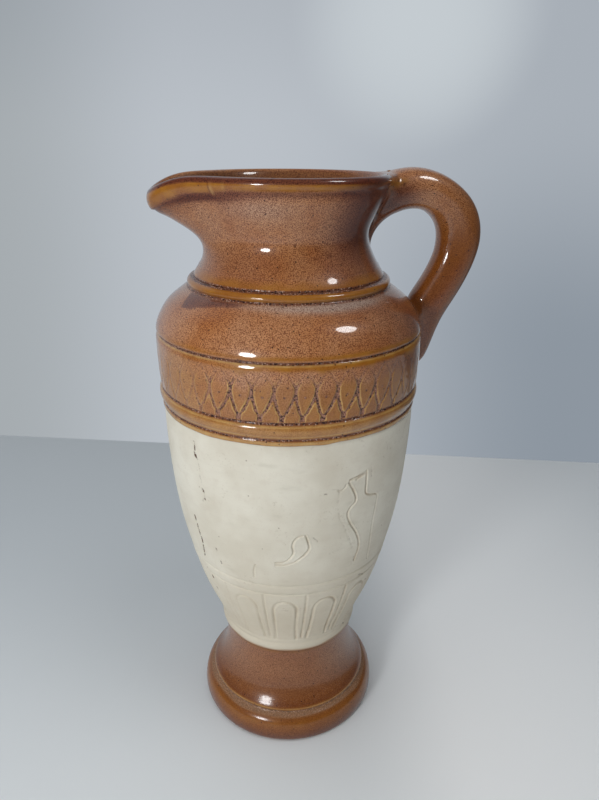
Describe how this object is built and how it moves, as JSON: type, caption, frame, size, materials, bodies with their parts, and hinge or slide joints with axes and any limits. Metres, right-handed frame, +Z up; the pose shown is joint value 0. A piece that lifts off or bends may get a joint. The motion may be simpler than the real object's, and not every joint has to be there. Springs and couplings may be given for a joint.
{
  "type": "two-tone stoneware jug",
  "caption": "Footed stoneware pouring jug with a tapering body, moulded shoulder, waisted neck, pulled spout and one loop handle, luted together from turned clay sections.",
  "frame": {"origin": "centre of the foot's flat base, on the jug's turning axis", "axes": "+Z up along the turning axis, +X towards the handle, -X towards the pouring spout"},
  "size_m": [0.1646, 0.1326, 0.3068],
  "materials": {
    "brown_glaze": "glossy speckled brown salt glaze",
    "cream_clay": "matte unglazed cream stoneware",
    "fired_slip": "matte fired clay slip"
  },
  "bodies": {
    "root": {"foot": "brown_glaze", "belly": "cream_clay", "shoulder": "brown_glaze", "neck": "brown_glaze", "handle": "brown_glaze", "foot_joint_slip": "fired_slip", "belly_joint_slip": "fired_slip", "neck_joint_slip": "fired_slip", "handle_upper_slip": "fired_slip", "handle_lower_slip": "fired_slip"}
  },
  "joints": []
}
